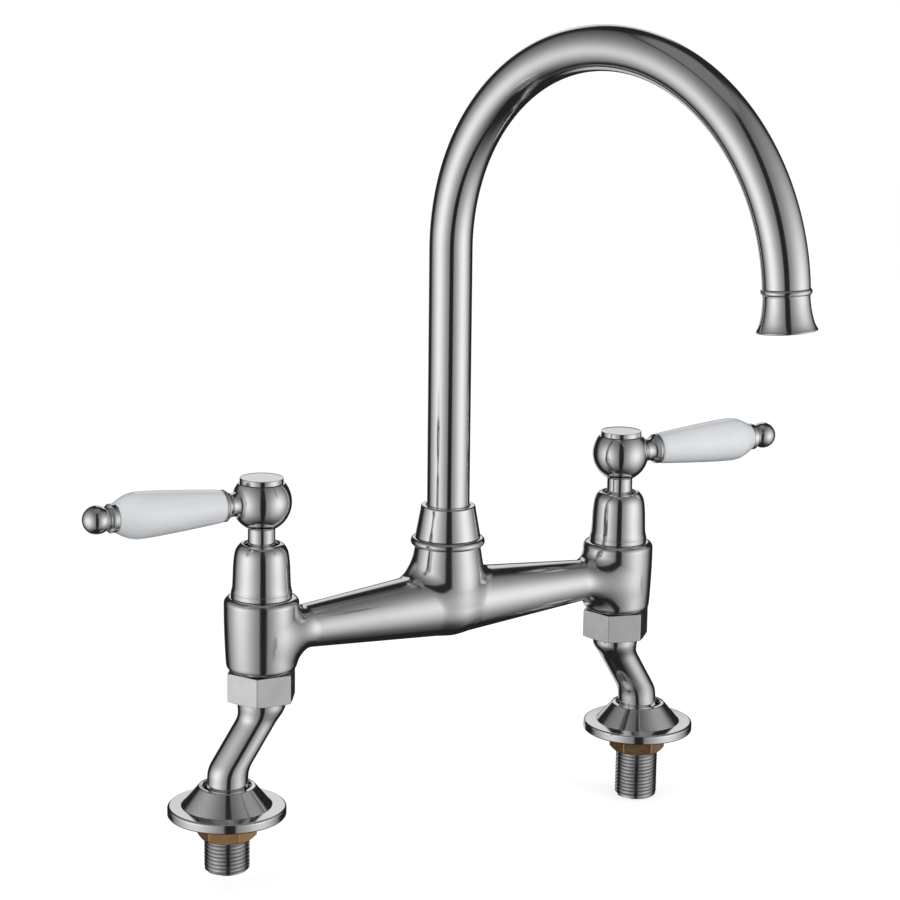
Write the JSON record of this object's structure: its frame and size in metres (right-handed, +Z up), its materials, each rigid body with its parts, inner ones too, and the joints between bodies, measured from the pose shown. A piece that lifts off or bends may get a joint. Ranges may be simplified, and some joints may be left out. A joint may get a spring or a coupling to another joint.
{
  "type": "bridge kitchen faucet",
  "caption": "Deck-mounted bridge mixer with a high swivelling gooseneck spout, porcelain lever handles on quarter-turn valves, and cranked legs through deck flanges.",
  "frame": {"origin": "on the deck surface, midway between the axes of the two valve bodies", "axes": "+X along the bridge towards the right-hand handle as the person at the sink sees it, -Y towards that person, +Z up"},
  "size_m": [0.379, 0.2366, 0.396],
  "materials": {
    "chrome": "polished",
    "brass": "machined",
    "steel": "machined",
    "porcelain": "glazed white",
    "disc_ceramic": "lapped",
    "rubber": "matte",
    "plastic": "moulded"
  },
  "bodies": {
    "bridge": {"bridge_body": "chrome", "spout_collar": "chrome", "spout_thrust_washer": "plastic", "left_bonnet": "chrome", "left_cartridge_body": "brass", "left_cartridge_seal": "rubber", "left_fixed_disc": "disc_ceramic", "left_union_nut": "chrome", "left_union_washer": "rubber", "right_bonnet": "chrome", "right_cartridge_body": "brass", "right_cartridge_seal": "rubber", "right_fixed_disc": "disc_ceramic", "right_union_nut": "chrome", "right_union_washer": "rubber"},
    "spout": {"spout_tube": "chrome", "spout_base": "brass", "spout_oring_lower": "rubber", "spout_oring_upper": "rubber", "spout_nozzle": "chrome", "aerator_housing": "steel", "aerator_insert": "plastic", "aerator_washer": "rubber"},
    "left_handle": {"left_handle_hub": "chrome", "left_index_cap": "chrome", "left_handle_screw": "steel", "left_spindle": "brass", "left_spindle_oring": "rubber", "left_moving_disc": "disc_ceramic", "left_lever_neck": "chrome", "left_lever_rod": "steel", "left_lever_grip": "porcelain", "left_lever_finial": "chrome"},
    "left_leg": {"left_leg": "chrome", "left_flange": "chrome", "left_flange_seal": "rubber", "left_backnut": "brass"},
    "right_handle": {"right_handle_hub": "chrome", "right_index_cap": "chrome", "right_handle_screw": "steel", "right_spindle": "brass", "right_spindle_oring": "rubber", "right_moving_disc": "disc_ceramic", "right_lever_neck": "chrome", "right_lever_rod": "steel", "right_lever_grip": "porcelain", "right_lever_finial": "chrome"},
    "right_leg": {"right_leg": "chrome", "right_flange": "chrome", "right_flange_seal": "rubber", "right_backnut": "brass"}
  },
  "joints": [
    {"name": "spout_swivel", "type": "hinge", "parent": "bridge", "child": "spout", "pos_m": [0, 0, 0.1236], "axis": [0, 0, 1], "continuous": true},
    {"name": "left_handle_turn", "type": "hinge", "parent": "bridge", "child": "left_handle", "pos_m": [-0.1008, 0, 0.084], "axis": [0, 0, 1], "range_deg": [-0.6, 89.4]},
    {"name": "right_handle_turn", "type": "hinge", "parent": "bridge", "child": "right_handle", "pos_m": [0.1008, 0, 0.084], "axis": [0, 0, 1], "range_deg": [-83.4, 6.6]},
    {"name": "left_leg_swivel", "type": "hinge", "parent": "bridge", "child": "left_leg", "pos_m": [-0.1008, 0, 0.0555], "axis": [0, 0, 1], "continuous": true},
    {"name": "right_leg_swivel", "type": "hinge", "parent": "bridge", "child": "right_leg", "pos_m": [0.1008, 0, 0.0555], "axis": [0, 0, 1], "continuous": true}
  ]
}
